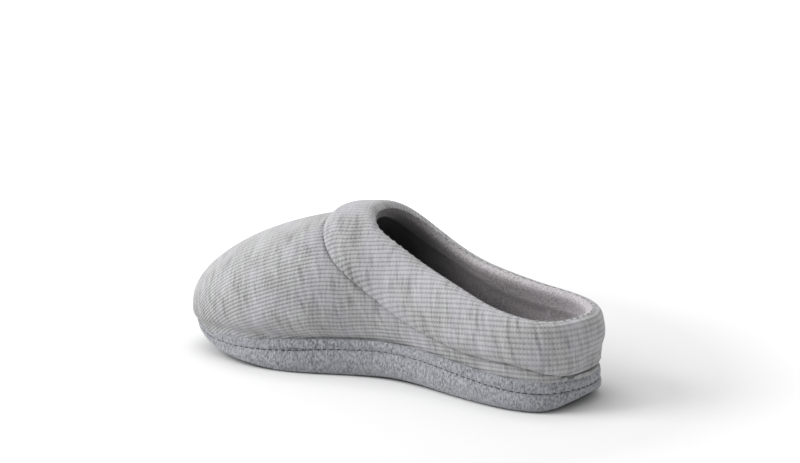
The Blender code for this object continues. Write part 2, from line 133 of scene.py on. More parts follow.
class Board:
    """The node tree of one material."""

    SHEEN_ROUGHNESS = 0.5
    SPECULAR = 0.2

    def __init__(self, name: str) -> None:
        """Start a material with its shader at the end of the tree.

        Args:
            name: The material's name.
        """
        self.material = bpy.data.materials.new(name)
        self.material.use_nodes = True
        self.tree = self.material.node_tree
        self.shader = self.tree.nodes["Principled BSDF"]

    def node(self, kind: str, settings: dict, inputs: dict, output: int | str = 0) -> Wire:
        """Add any node.

        Args:
            kind: The node's type.
            settings: Attributes set before the inputs.
            inputs: Values or wires by socket index or name.
            output: Index or name of the output that is wanted.

        Returns:
            The wire of that output.
        """
        node = self.tree.nodes.new(kind)
        for key, value in settings.items():
            setattr(node, key, value)
        self.plug(node, inputs)
        return Wire(self, node.outputs[output])

    def plug(self, node: bpy.types.Node, inputs: dict) -> None:
        """Set the inputs of a node.

        Args:
            node: The node.
            inputs: Values or wires by socket index or name.
        """
        for key, value in inputs.items():
            if isinstance(value, Wire):
                self.tree.links.new(value.socket, node.inputs[key])
            else:
                node.inputs[key].default_value = value

    def place(self) -> Wire:
        """The point on the piece, in metres."""
        return self.node("ShaderNodeTexCoord", {}, {}, "Object")

    def axis(self, at: Wire, index: int) -> Wire:
        """One coordinate of a point, by its index."""
        return self.node("ShaderNodeSeparateXYZ", {}, {0: at}, index)

    def lay(self) -> tuple[Wire, Wire]:
        """Length along the rib and count of ribs across."""
        at = self.node("ShaderNodeUVMap", {"uv_map": LAY}, {})
        return self.axis(at, 0), self.axis(at, 1)

    def joined(self, *parts: Wire | float) -> Wire:
        """A point from its three parts."""
        return self.node("ShaderNodeCombineXYZ", {}, dict(enumerate(parts)))

    def grain(self, at: Wire, detail: float, roughness: float = 0.5) -> Wire:
        """Soft noise around a half at one wave for each unit."""
        inputs = {"Vector": at, "Scale": 1.0, "Detail": detail, "Roughness": roughness}
        return self.node("ShaderNodeTexNoise", {"noise_dimensions": "3D"}, inputs)

    def speckle(
        self, size: float, detail: float, roughness: float = 0.5, stretch: float = 1.0
    ) -> Wire:
        """Soft noise around a half over the piece.

        Args:
            size: Length of one wave in metres.
            detail: Octaves of finer noise.
            roughness: Strength of each finer octave.
            stretch: Height of a wave in widths.

        Returns:
            The noise.
        """
        scale = (1 / size, 1 / size, 1 / (size * stretch))
        inputs = {0: self.place(), "Scale": scale}
        at = self.node("ShaderNodeMapping", {"vector_type": "POINT"}, inputs)
        return self.grain(at, detail, roughness)

    def blend(self, factor: Wire | float, first: Wire | Colour, second: Wire | Colour) -> Wire:
        """Mix two colours.

        Args:
            factor: Share of the second colour.
            first: Colour at 0.
            second: Colour at 1.

        Returns:
            The mixed colour.
        """
        settings = {"data_type": "RGBA", "clamp_factor": True}
        ends = [end if isinstance(end, Wire) else (*end, 1) for end in (first, second)]
        return self.node("ShaderNodeMix", settings, {0: factor, 6: ends[0], 7: ends[1]}, 2)

    def close(
        self, colour: Wire, height: Wire, relief: float, roughness: float, sheen: float = 0.0
    ) -> bpy.types.Material:
        """Feed the shader.

        Args:
            colour: Base colour.
            height: Relief from 0 to 1.
            relief: Depth of the relief in metres.
            roughness: One roughness all over.
            sheen: Weight of the sheen of loose fibres.

        Returns:
            The finished material.
        """
        bumped = {"Height": height, "Distance": relief, "Strength": 1.0}
        inputs = {
            "Base Color": colour,
            "Normal": self.node("ShaderNodeBump", {}, bumped),
            "Roughness": roughness,
            "Sheen Weight": sheen,
            "Sheen Roughness": self.SHEEN_ROUGHNESS,
            "Specular IOR Level": self.SPECULAR,
        }
        self.plug(self.shader, inputs)
        return self.material


@dataclass(frozen=True)
class KnitFinish:
    """Heather yarn knitted in ribs: light ribs, grooves darkened with painted shade, slanted
    stitches, mixed yarn.

    The lay map gives the length along a rib in metres and the count of ribs across. A
    value that ends in shade, highlight or height says how much goes into the colour or the
    relief. The ridge's highlight is a painted highlight along the vamp's ridge.
    """

    light: Colour = (0.49, 0.49, 0.49)
    dark: Colour = (0.13, 0.13, 0.135)
    tint: Colour = (0.40, 0.39, 0.47)
    tint_gain: float = 3.0
    tint_base: float = 0.15
    tint_most: float = 0.35
    rib_power: float = 1.8
    course: float = 0.0021
    lean: float = 0.85
    slant: float = 0.28
    streak_length: float = 0.0017
    streak_ribs: float = 5.0
    streak_layer: float = 0.5
    bar_length: float = 0.0024
    bar_ribs: float = 4.5
    bar_layer: float = 7.5
    bar_below: float = 0.43
    bar_gain: float = 4.5
    # Reach of the painted highlight along the vamp's ridge, and how much it calms the weave.
    ridge_from: float = 0.012
    ridge_over: float = 0.02
    ridge_ribs: float = 11.0
    ridge_edge: float = 1.25
    ridge_calm: float = 0.6
    patch_size: float = 0.018
    fuzz_size: float = 0.0006
    middle_shade: float = 0.50
    # Painted shade of the rib grooves, around the rib's level, and of the gaps between stitches.
    rib_painted_shade: float = 0.26
    rib_level: float = 0.55
    stitch_painted_shade: float = 0.15
    streak_shade: float = 0.72
    bar_shade: float = 0.26
    fuzz_shade: float = 0.5
    patch_shade: float = 0.25
    # Painted highlight: how much paler the knit is along the vamp's ridge.
    ridge_painted_highlight: float = 0.05
    rib_height: float = 0.62
    stitch_height: float = 0.22
    fuzz_height: float = 0.16
    relief: float = 0.00042
    roughness: float = 0.92
    sheen: float = 0.25

    def material(self, name: str) -> bpy.types.Material:
        """Make the knit.

        Args:
            name: The material's name.

        Returns:
            The material.
        """
        board = Board(name)
        along, across = board.lay()
        rib = 1.0 - (1.0 - across.wave()) ** self.rib_power
        stitch = (along / self.course + self.lean * across.off_crest()).wave()
        from_ridge = across.maths("ABSOLUTE", across)
        slanted = along + self.slant * self.course * from_ridge
        streak_ribs = across / self.streak_ribs
        streak_at = board.joined(slanted / self.streak_length, streak_ribs, self.streak_layer)
        streak = board.grain(streak_at, detail=1.5)
        bar_at = board.joined(slanted / self.bar_length, across / self.bar_ribs, self.bar_layer)
        bar = ((self.bar_below - board.grain(bar_at, detail=0.5)) * self.bar_gain).limited()
        # Painted highlight along the vamp's ridge, past a little way along the rib: paler knit,
        # calmer weave.
        ahead = ((along - self.ridge_from) / self.ridge_over).limited()
        ridge = (self.ridge_edge - from_ridge / self.ridge_ribs).limited() * ahead
        calm = 1.0 - self.ridge_calm * ridge
        patch = board.speckle(self.patch_size, detail=1.0)
        fuzz = board.speckle(self.fuzz_size, detail=2.0)
        # Painted shade: the grooves between ribs and the gaps between stitches come out darker.
        weave = self.rib_painted_shade * (rib - self.rib_level) + self.stitch_painted_shade * (stitch - 0.5)
        weave = weave + self.streak_shade * (streak - 0.5) - self.bar_shade * bar
        shade = self.middle_shade + calm * weave + self.fuzz_shade * (fuzz - 0.5)
        shade = shade + self.patch_shade * (patch - 0.5) + self.ridge_painted_highlight * ridge
        yarn = board.blend(shade.limited(), self.dark, self.light)
        tinted = (self.tint_gain * (patch - 0.5) + self.tint_base).limited() * self.tint_most
        colour = board.blend(tinted, yarn, self.tint)
        height = (self.rib_height * rib + self.stitch_height * stitch * rib) * calm
        height = height + self.fuzz_height * fuzz
        return board.close(colour, height, self.relief, self.roughness, self.sheen)


@dataclass(frozen=True)
class PlushFinish:
    """Looped or brushed pile, mottled from loop to loop.

    A painted shade colour comes in along the foot towards the toe: shade far inside the shoe.
    It also comes in down the wall, once a place along the foot is passed: shade low in the shoe.
    """

    light: Colour
    dark: Colour
    tint: Colour
    # Colour of the painted shade inside the shoe.
    painted_shade: Colour
    loop: float
    stretch: float
    relief: float
    contrast: float
    loop_detail: float = 2.5
    loop_roughness: float = 0.6
    cloud_size: float = 0.012
    cloud_shade: float = 0.25
    tint_gain: float = 2.5
    tint_base: float = 0.2
    tint_most: float = 0.4
    # Ramps of the painted shade: along the foot towards the toe, and down the wall past a place
    # along the foot.
    painted_shade_from: float = 1.0
    painted_shade_over: float = 1.0
    low_shade_from: float = -1.0
    low_shade_over: float = 1.0
    low_shade_start: float = -0.100
    low_shade_ramp: float = 0.055
    low_shade_most: float = 0.85
    roughness: float = 0.95
    sheen: float = 0.35

    def material(self, name: str) -> bpy.types.Material:
        """Make the pile.

        Args:
            name: The material's name.

        Returns:
            The material.
        """
        board = Board(name)
        loops = board.speckle(self.loop, self.loop_detail, self.loop_roughness, self.stretch)
        cloud = board.speckle(self.cloud_size, detail=1.0)
        shade = 0.5 + self.contrast * (loops - 0.5) + self.cloud_shade * (cloud - 0.5)
        pile = board.blend(shade.limited(), self.dark, self.light)
        tinted = (self.tint_gain * (cloud - 0.5) + self.tint_base).limited() * self.tint_most
        pile = board.blend(tinted, pile, self.tint)
        forward = board.axis(board.place(), 1)
        height = board.axis(board.place(), 2)
        # Painted shade: darker towards the toe inside the shoe, and low on the wall once a place
        # along the foot is passed.
        ahead = ((forward - self.painted_shade_from) / self.painted_shade_over).limited()
        low = ((self.low_shade_from - height) / self.low_shade_over).limited()
        low = low * ((forward - self.low_shade_start) / self.low_shade_ramp).limited()
        inside = 1.0 - (1.0 - ahead) * (1.0 - self.low_shade_most * low)
        colour = board.blend(inside, pile, self.painted_shade)
        return board.close(colour, loops, self.relief, self.roughness, self.sheen)


@dataclass(frozen=True)
class GrainFinish:
    """A plain colour with a fine lighter grain, as on rubber and sewing thread."""

    colour: Colour
    size: float
    detail: float
    share: float
    lift: float
    relief: float
    roughness: float

    def material(self, name: str) -> bpy.types.Material:
        """Make the grained colour.

        Args:
            name: The material's name.

        Returns:
            The material.
        """
        board = Board(name)
        grain = board.speckle(self.size, self.detail)
        lighter = tuple(self.lift * part for part in self.colour)
        colour = board.blend(grain * self.share, self.colour, lighter)
        return board.close(colour, grain, self.relief, self.roughness)


# The sole's plush keeps the default ramps, so its painted shade colour never comes in.
SOLE_PLUSH = PlushFinish(
    light=(0.43, 0.44, 0.47), dark=(0.085, 0.09, 0.105),
    tint=(0.24, 0.25, 0.28), painted_shade=(0.24, 0.25, 0.28),
    loop=0.0011, stretch=1.8, relief=0.0008, contrast=2.3,
)
# The lining is darkened with painted shade far inside the toe and low on the wall.
LINING_PLUSH = PlushFinish(
    light=(0.67, 0.64, 0.655), dark=(0.16, 0.15, 0.16),
    tint=(0.30, 0.26, 0.29), painted_shade=(0.022, 0.021, 0.021),
    loop=0.0010, stretch=1.0, relief=0.0004, contrast=1.6,
    painted_shade_from=-0.036, painted_shade_over=0.055, low_shade_from=0.056, low_shade_over=0.024,
)
# The footbed keeps the painted shade towards the toe, without the shade low on the wall.
FOOTBED_PLUSH = replace(LINING_PLUSH, low_shade_from=-1.0)
RUBBER = GrainFinish(
    colour=(0.050, 0.050, 0.056), size=0.0009, detail=2.0,
    share=0.5, lift=1.6, relief=0.00012, roughness=0.75,
)
# Near-black thread for the sole's lockstitch: painted shade of the seam's groove, on a thread that
# is grey.
THREAD_IN_PAINTED_SHADE = GrainFinish(
    colour=(0.035, 0.036, 0.045), size=0.0005, detail=1.0,
    share=1.0, lift=2.2, relief=0.00008, roughness=0.8,
)
# The rim's thread in its own grey, with the same grain.
GREY_THREAD = replace(THREAD_IN_PAINTED_SHADE, colour=(0.19, 0.19, 0.195))


def read(items: bpy.types.bpy_prop_collection, key: str, kind: type, width: int) -> np.ndarray:
    """Read one attribute of all of a mesh's items.

    Args:
        items: Such as the mesh's vertices.
        key: The attribute's name.
        kind: The numbers' type.
        width: Numbers for each item.

    Returns:
        A row for each item.
    """
    flat = np.empty(len(items) * width, dtype=kind)
    items.foreach_get(key, flat)
    return flat.reshape(-1, width)


def coords(mesh: bpy.types.Mesh) -> np.ndarray:
    """Vertex positions of a mesh as rows."""
    return read(mesh.vertices, "co", np.float32, 3).astype(float)


def normals(mesh: bpy.types.Mesh) -> np.ndarray:
    """Vertex normals of a mesh as rows."""
    return read(mesh.vertex_normals, "vector", np.float32, 3).astype(float)


def put_coords(mesh: bpy.types.Mesh, points: np.ndarray) -> None:
    """Write vertex positions back."""
    mesh.vertices.foreach_set("co", points.ravel())
    mesh.update()


def swell(mesh: bpy.types.Mesh, push: np.ndarray) -> None:
    """Move each vertex of a mesh along its normal."""
    put_coords(mesh, coords(mesh) + push[:, None] * normals(mesh))


def smoothstep(x: np.ndarray) -> np.ndarray:
    """Soft ramp from 0 to 1."""
    x = np.clip(x, 0, 1)
    return x * x * (3 - 2 * x)


def linked(name: str, data: bpy.types.ID) -> bpy.types.Object:
    """Add an object to the scene.

    Args:
        name: The object's name.
        data: Its mesh, camera or light.

    Returns:
        The object.
    """
    made = bpy.data.objects.new(name, data)
    bpy.context.scene.collection.objects.link(made)
    return made


def to_mesh(bm: bmesh.types.BMesh, name: str) -> bpy.types.Mesh:
    """Turn a bmesh into a mesh.

    Args:
        bm: The bmesh, which is freed.
        name: The mesh's name.

    Returns:
        The mesh.
    """
    mesh = bpy.data.meshes.new(name)
    bm.to_mesh(mesh)
    bm.free()
    return mesh


def copy_of(node: str) -> bmesh.types.BMesh:
    """Copy a CAD node.

    Args:
        node: The node's name.

    Returns:
        Its mesh, merged, with its quads joined again.
    """
    bm = bmesh.new()
    bm.from_mesh(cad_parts[node].data)
    bmesh.ops.remove_doubles(bm, verts=bm.verts, dist=MERGE)
    bmesh.ops.join_triangles(
        bm,
        faces=bm.faces,
        angle_face_threshold=math.pi,
        angle_shape_threshold=math.pi,
        topology_influence=2.0,
    )
    bm.normal_update()
    return bm


def tree_of(bm: bmesh.types.BMesh) -> BVHTree:
    """Make a search tree of a bmesh, which is freed.

    Args:
        bm: The bmesh.

    Returns:
        The tree.
    """
    tree = BVHTree.FromBMesh(bm)
    bm.free()
    return tree


def keep_faces(bm: bmesh.types.BMesh, test: Test) -> None:
    """Delete the faces that fail a test, with what is left loose.

    Args:
        bm: The bmesh to change.
        test: Says whether a face is kept.
    """
    lost = [face for face in bm.faces if not test(face)]
    bmesh.ops.delete(bm, geom=lost, context="FACES")
    bm.normal_update()


def crease_corners(bm: bmesh.types.BMesh, weight: float) -> None:
    """Keep the corners of a thin section from shrinking when it is subdivided.

    Args:
        bm: The bmesh to crease.
        weight: The crease's weight from 0 to 1.
    """
    layer = bm.edges.layers.float.new("crease_edge")
    for edge in bm.edges:
        if len(edge.link_faces) == 2 and edge.calc_face_angle(0) > CORNER:
            edge[layer] = weight


def evaluated(block: bpy.types.Object) -> bpy.types.Mesh:
    """Apply an object's modifiers to a new mesh.

    Args:
        block: The object.

    Returns:
        The new mesh.
    """
    bpy.context.view_layer.update()
    graph = bpy.context.evaluated_depsgraph_get()
    return bpy.data.meshes.new_from_object(block.evaluated_get(graph), depsgraph=graph)


def subdivided(
    bm: bmesh.types.BMesh, levels: int, name: str, pulls: int = PULLS
) -> bpy.types.Mesh:
    """Subdivide smoothly, through the mesh's own vertices.

    Args:
        bm: The coarse mesh, which is freed.
        levels: Levels of subdivision.
        name: Name of the fine mesh.
        pulls: Times that the form is pulled back out to the coarse vertices.

    Returns:
        The fine mesh.
    """
    mesh = to_mesh(bm, name)
    block = linked(name, mesh)
    smooth = block.modifiers.new("smooth", "SUBSURF")
    smooth.levels = smooth.render_levels = levels
    goal = coords(mesh)
    for _ in range(pulls):
        fine = evaluated(block)
        put_coords(mesh, coords(mesh) + goal - coords(fine)[: len(goal)])
        bpy.data.meshes.remove(fine)
    fine = evaluated(block)
    bpy.data.objects.remove(block)
    bpy.data.meshes.remove(mesh)
    fine.name = name
    return fine


def rings(edges: Iterable[bmesh.types.BMEdge]) -> list[list[bmesh.types.BMVert]]:
    """Order loose edges into closed rings.

    Args:
        edges: Edges, each in one ring.

    Returns:
        The vertices of each ring, in order.
    """
    left = set(edges)
    found = []
    while left:
        first = min(left, key=lambda edge: edge.index)
        left.discard(first)
        ring = [first.verts[0], first.verts[1]]
        while True:
            step = next((edge for edge in ring[-1].link_edges if edge in left), None)
            if step is None:
                break
            left.discard(step)
            ring.append(step.other_vert(ring[-1]))
        if ring[0] is ring[-1]:
            ring.pop()
        found.append(ring)
    return found


def open_loops(bm: bmesh.types.BMesh) -> list[list[bmesh.types.BMVert]]:
    """Find the boundary loops of a bmesh.

    Args:
        bm: The bmesh.

    Returns:
        The vertices of each loop in order, the lowest loop first.
    """
    bm.edges.index_update()
    loops = rings([edge for edge in bm.edges if edge.is_boundary])
    return sorted(loops, key=lambda ring: np.mean([v.co.z for v in ring]))


class FormGauge:
    """Reads the form of the upper's outer skin, as arcs up each side in planes along the foot.

    The planes stand across the foot, and fan out around the heel. Rays towards the
    middle of each plane find the skin; above the open collar the arc runs on round.
    """

    HEEL_RADIUS = 0.038
    TOE_MARGIN = 0.0008
    FLOOR_OF_ARC = 0.0175
    FAR = 0.15
    LEAST_REACH = 0.01
    JUMP = 0.006
    CROWDING = 1.5
    PLANES = 72
    FAN = 20
    ANGLES = 48

    def __init__(self, node: str) -> None:
        """Measure the node.

        Args:
            node: Name of the CAD node of the upper.
        """
        self.tree = tree_of(copy_of(node))
        low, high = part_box(node)
        self.heel_y = low[1] + self.HEEL_RADIUS
        self.toe_y = high[1] - self.TOE_MARGIN
        ease = 1 - (1 - np.linspace(0, 1, self.PLANES)) ** self.CROWDING
        self.planes = self.heel_y + (self.toe_y - self.heel_y) * ease
        self.middles = np.array([self._middle(y) for y in self.planes])
        self.elevations = np.linspace(0, QUARTER, self.ANGLES)
        self.arcs = {side: self._arcs(side) for side in Side}

    def middle(self, y: float | np.ndarray) -> float | np.ndarray:
        """The x halfway between the two sides at y."""
        return np.interp(y, self.planes, self.middles)

    def _hit(self, centre: Vector, direction: Vector) -> float | None:
        """Distance from the centre at which a ray from outside meets the skin."""
        hit = self.tree.ray_cast(centre + self.FAR * direction, -direction)
        return None if hit[0] is None else self.FAR - hit[3]

    def _middle(self, y: float) -> float:
        """Measure the middle between the two sides.

        Args:
            y: Place along the foot.

        Returns:
            The middle's x.
        """
        centre = Vector((0, y, self.FLOOR_OF_ARC))
        outer = self._hit(centre, Vector((1, 0, 0)))
        inner = self._hit(centre, Vector((-1, 0, 0)))
        return ((outer or 0) - (inner or 0)) / 2

    def _arcs(self, side: Side) -> np.ndarray:
        """Measure the arcs up one side.

        Args:
            side: The side.

        Returns:
            A row of arc lengths for each plane, the fan's planes first.
        """
        rows = []
        for step in range(self.FAN):
            turn = QUARTER * step / self.FAN
            out = Vector((side.value * math.sin(turn), -math.cos(turn), 0))
            rows.append(self._arc(Vector((self.middles[0], self.heel_y, self.FLOOR_OF_ARC)), out))
        for y, middle in zip(self.planes, self.middles):
            out = Vector((side.value, 0, 0))
            rows.append(self._arc(Vector((middle, y, self.FLOOR_OF_ARC)), out))
        return np.array(rows)

    def _arc(self, centre: Vector, out: Vector) -> list[float]:
        """Measure the arc in one plane.

        Args:
            centre: The arc's centre on the gauge's floor.
            out: Level direction of the plane.

        Returns:
            The arc's length at each elevation.
        """
        reach = None
        length = 0.0
        last = None
        arc = []
        for elevation in self.elevations:
            direction = math.cos(elevation) * out + math.sin(elevation) * Vector((0, 0, 1))
            found = self._hit(centre, direction)
            if reach is None:
                reach = found or self.LEAST_REACH
            elif found is not None and abs(found - reach) < self.JUMP:
                reach = found
            point = reach * direction
            if last is not None:
                length += (point - last).length
            last = point
            arc.append(length)
        return arc

    def locate(self, points: np.ndarray) -> tuple[np.ndarray, np.ndarray, np.ndarray, np.ndarray]:
        """Find points in the gauge.

        Args:
            points: Rows of positions.

        Returns:
            The side (-1 or 1), the place along the foot in metres, the arc up from the
            gauge's floor and the whole arc to the ridge there.
        """
        x, y, z = points.T
        across = x - self.middle(y)
        sides = np.where(across < 0, -1, 1)
        back = y < self.heel_y
        turn = np.arctan2(np.abs(across), np.maximum(self.heel_y - y, 0))
        reach = np.where(back, np.hypot(across, self.heel_y - y), np.abs(across))
        row = np.where(back, turn / QUARTER * self.FAN, self._row(y))
        column = np.arctan2(np.maximum(z - self.FLOOR_OF_ARC, 0), reach)
        column = column / QUARTER * (self.ANGLES - 1)
        arc = np.zeros(len(points))
        whole = np.zeros(len(points))
        for side in Side:
            table = self.arcs[side]
            mine = sides == side.value
            arc[mine] = self._lookup(table, row[mine], column[mine])
            whole[mine] = self._lookup(table, row[mine], np.full(mine.sum(), self.ANGLES - 1.0))
        arc += np.minimum(z - self.FLOOR_OF_ARC, 0)
        along = np.where(back, self.heel_y - self.HEEL_RADIUS * (QUARTER - turn), y)
        return sides, along, arc, whole

    def _row(self, y: float | np.ndarray) -> float | np.ndarray:
        """Row of the arc table at y, ahead of the heel's fan."""
        return np.interp(y, self.planes, np.arange(self.PLANES)) + self.FAN

    @staticmethod
    def _lookup(table: np.ndarray, row: np.ndarray, column: np.ndarray) -> np.ndarray:
        """Read a table between its rows and columns.

        Args:
            table: The table.
            row: Place along the rows, with fractions.
            column: Place along the columns, with fractions.

        Returns:
            The bilinear values.
        """
        r = np.clip(row.astype(int), 0, table.shape[0] - 2)
        c = np.clip(column.astype(int), 0, table.shape[1] - 2)
        fr = np.clip(row - r, 0, 1)
        fc = np.clip(column - c, 0, 1)
        low = table[r, c] * (1 - fc) + table[r, c + 1] * fc
        high = table[r + 1, c] * (1 - fc) + table[r + 1, c + 1] * fc
        return low * (1 - fr) + high * fr

    def ridge_arc(self, side: Side, y: float) -> float:
        """Whole arc of a side from the gauge's floor to the ridge at y."""
        row, column = np.array([self._row(y)]), np.array([self.ANGLES - 1.0])
        return float(self._lookup(self.arcs[side], row, column)[0])


@dataclass
class RibLay:
    """How the ribs lie on the form: along the vamp's ridge, and climbing to the heel."""

    gauge: FormGauge
    throat_y: float = 0.016
    pitch: float = 0.00235
    heel_pitch: float = 0.00275
    heel_climb: float = 0.009
    vamp_climb: float = 0.0115
    climb_start: float = 0.006
    climb_end: float = 0.072
    ridge_fade: float = 0.055
    cap_from: float = 0.085
    cap_over: float = 0.025
    cap_top: float = 0.045
    cap_facing: float = 0.45
    cap_turn: float = 0.45
    ribs: dict[Side, int] = field(init=False)
    throat_arc: dict[Side, float] = field(init=False)

    def __post_init__(self) -> None:
        """Fit whole ribs between the sole and the ridge at the throat."""
        self.throat_arc = {side: self.gauge.ridge_arc(side, self.throat_y) for side in Side}
        self.ribs = {side: round(arc / self.pitch) for side, arc in self.throat_arc.items()}

    def count(
        self, side: Side, y: np.ndarray, arc: np.ndarray, whole: np.ndarray
    ) -> np.ndarray:
        """Count the ribs up from the sole to points of one side.

        Args:
            side: The side.
            y: Place of each point along the foot.
            arc: Its arc up from the gauge's floor.
            whole: The whole arc to the ridge there.

        Returns:
            The counts, with fractions.
        """
        heel_y = self.gauge.heel_y - self.gauge.HEEL_RADIUS
        back = smoothstep((self.throat_y - y) / (self.throat_y - heel_y))
        own = self.throat_arc[side] / self.ribs[side]
        pitch = own + (self.heel_pitch - own) * back
        ahead = np.where(y > self.throat_y, self.throat_arc[side] - whole, 0.0)
        forward = smoothstep((y - self.climb_start) / (self.climb_end - self.climb_start))
        down = np.clip((whole - arc) / self.ridge_fade, 0, 1)
        climb = self.vamp_climb * forward * np.sin(QUARTER * down)
        return (arc + ahead + climb - self.heel_climb * back) / pitch

    def write_map(self, mesh: bpy.types.Mesh) -> None:
        """Write the lay as a UV map, each face by the side that its middle is on.

        Args:
            mesh: The knit's mesh.
        """
        points = coords(mesh)
        corners = read(mesh.loops, "vertex_index", np.int32, 1)[:, 0]
        totals = read(mesh.polygons, "loop_total", np.int32, 1)[:, 0]
        centres = read(mesh.polygons, "center", np.float32, 3).astype(float)
        face_side = np.repeat(self.gauge.locate(centres)[0], totals)
        sides, along, arc, whole = self.gauge.locate(points)
        across = np.zeros(len(corners))
        for side in Side:
            mine = face_side == side.value
            verts = corners[mine]
            y = points[verts, 1]
            strange = (sides[verts] != side.value) & (y > self.gauge.heel_y)
            over_ridge = 2 * whole[verts] - arc[verts]
            own_arc = np.where(strange, over_ridge, arc[verts])
            count = self.count(side, y, own_arc, whole[verts])
            across[mine] = side.value * (self.ribs[side] - count)
        facing = normals(mesh)[corners]
        along, across = self.over_cap(points[corners], facing, along[corners], across)
        layer = mesh.uv_layers.new(name=LAY)
        layer.data.foreach_set("uv", np.column_stack([along, across]).ravel())

    def over_cap(
        self, points: np.ndarray, facing: np.ndarray, along: np.ndarray, across: np.ndarray
    ) -> tuple[np.ndarray, np.ndarray]:
        """Run the ribs straight down over the front of the toe.

        Args:
            points: Rows of positions.
            facing: Rows of normals.
            along: Length along the rib at each point.
            across: Signed count of ribs at each point.

        Returns:
            The length along and the count, changed where the knit faces forwards.
        """
        cap = smoothstep((facing[:, 1] - self.cap_facing) / self.cap_turn)
        cap *= smoothstep((points[:, 1] - self.cap_from) / self.cap_over)
        stretch = 1 - QUARTER * self.vamp_climb / self.ridge_fade
        straight = (points[:, 0] - self.gauge.middle(points[:, 1])) * stretch / self.pitch
        down = along + cap * (self.cap_top - points[:, 2])
        return down, across * (1 - cap) + straight * cap


class Shells:
    """Sorts the faces of the upper and the collar band by where they face."""

    TOUCH = 0.0006
    LIP_STAND = 0.0015
    LIP_COVER = 0.0012
    CREST = -0.0010
    WALL = 0.0030
    WALL_SLACK = 0.0008

    def __init__(self, gauge: FormGauge) -> None:
        """Prepare the search trees.

        Args:
            gauge: The form's gauge, which gives the spine of the foot.
        """
        self.gauge = gauge
        self.upper_tree = gauge.tree
        self.band_tree = tree_of(copy_of("collar_band"))
        outer = copy_of("upper")
        keep_faces(outer, self.faces_out)
        self.outer_tree = tree_of(outer)

    def spine_point(self, point: Vector) -> Vector:
        """Nearest point on the line inside the foot."""
        y = min(max(point.y, self.gauge.heel_y), self.gauge.toe_y - self.gauge.HEEL_RADIUS)
        return Vector((float(self.gauge.middle(y)), y, self.gauge.FLOOR_OF_ARC))

    def is_wall(self, face: bmesh.types.BMFace) -> bool:
        """Tell the upper's wall from its edges, by the thickness behind.

        Args:
            face: A face of the upper.

        Returns:
            Whether it is on the wall.
        """
        start = face.calc_center_median() - self.TOUCH * face.normal
        behind = self.upper_tree.ray_cast(start, -face.normal)[3]
        return behind is not None and abs(behind + self.TOUCH - self.WALL) < self.WALL_SLACK

    def outward(self, face: bmesh.types.BMFace) -> float:
        """How far a face looks away from the foot, or at it where this is below zero."""
        centre = face.calc_center_median()
        return face.normal.dot(centre - self.spine_point(centre))

    def faces_out(self, face: bmesh.types.BMFace) -> bool:
        """Whether a face of the upper's wall looks away from the foot."""
        return self.outward(face) > 0 and self.is_wall(face)

    def faces_in(self, face: bmesh.types.BMFace) -> bool:
        """Whether a face of the upper's wall looks at the foot."""
        return self.outward(face) < 0 and self.is_wall(face)

    def clear_of_upper(self, face: bmesh.types.BMFace, gap: float) -> bool:
        """Whether a face of the band stands clear of the upper's wall."""
        return self.upper_tree.find_nearest(face.calc_center_median())[3] > gap

    def past_crest(self, face: bmesh.types.BMFace) -> bool:
        """Tell the band's lining side from its outer side.

        Args:
            face: A face of the band.

        Returns:
            Whether it is past the crest, on the lining's side.
        """
        centre = face.calc_center_median()
        nearest, normal, _, _ = self.outer_tree.find_nearest(centre)
        return (centre - nearest).dot(normal) < self.CREST

    def covered(self, point: Vector, cover: float) -> bool:
        """Whether a point lies against the band."""
        return self.band_tree.find_nearest(point)[3] < cover


@dataclass(frozen=True)
class Fold:
    """A soft trough or ridge along a line of points on the slipper.

    Points are in metres; a negative height is a trough. A paired fold is also laid on
    the other side of the foot.
    """

    points: tuple[tuple[float, float, float], ...]
    width: float
    height: float
    paired: bool = False


VAMP_FOLDS = (
    Fold(
        ((-0.020, 0.041, 0.089), (-0.0275, 0.0375, 0.083), (-0.035, 0.026, 0.068),
         (-0.0345, 0.0165, 0.0555), (-0.031, 0.004, 0.0445), (-0.029, -0.018, 0.036)),
        width=0.0042, height=-0.0007, paired=True,
    ),
    Fold(((-0.0425, 0.060, 0.030), (-0.040, 0.036, 0.033)), width=0.006, height=-0.0006),
    Fold(((-0.030, 0.012, 0.036), (-0.028, -0.006, 0.030)), width=0.0035, height=-0.0008),
    Fold(((-0.0285, -0.0435, 0.0275), (-0.031, -0.0585, 0.025)), width=0.002, height=-0.0008),
    Fold(((-0.020, -0.126, 0.019), (0.008, -0.131, 0.0205)), width=0.0016, height=-0.0008),
)
BAND_FOLDS = (
    Fold(
        ((-0.027, 0.018, 0.0855), (-0.0325, 0.0095, 0.070), (-0.031, -0.0035, 0.0575),
         (-0.0305, -0.019, 0.048)),
        width=0.0055, height=0.0009, paired=True,
    ),
    Fold(((-0.0325, -0.035, 0.044), (-0.0345, -0.0525, 0.0365)), width=0.003, height=-0.0009),
    Fold(((-0.032, -0.0405, 0.037), (-0.0325, -0.0515, 0.033)), width=0.002, height=-0.0007),
    Fold(((-0.037, -0.080, 0.033), (-0.0385, -0.098, 0.030)), width=0.004, height=-0.0006),
    Fold(((-0.015, -0.130, 0.0235), (0.013, -0.1325, 0.026)), width=0.0018, height=-0.0011),
    Fold(((-0.004, -0.133, 0.029), (0.017, -0.131, 0.0315)), width=0.0018, height=-0.0008),
    Fold(((0.006, -0.133, 0.056), (0.018, -0.130, 0.050)), width=0.0025, height=-0.0005),
    Fold(
        ((-0.004, -0.134, 0.027), (0.016, -0.132, 0.027), (0.032, -0.122, 0.027)),
        width=0.007, height=-0.0026,
    ),
)
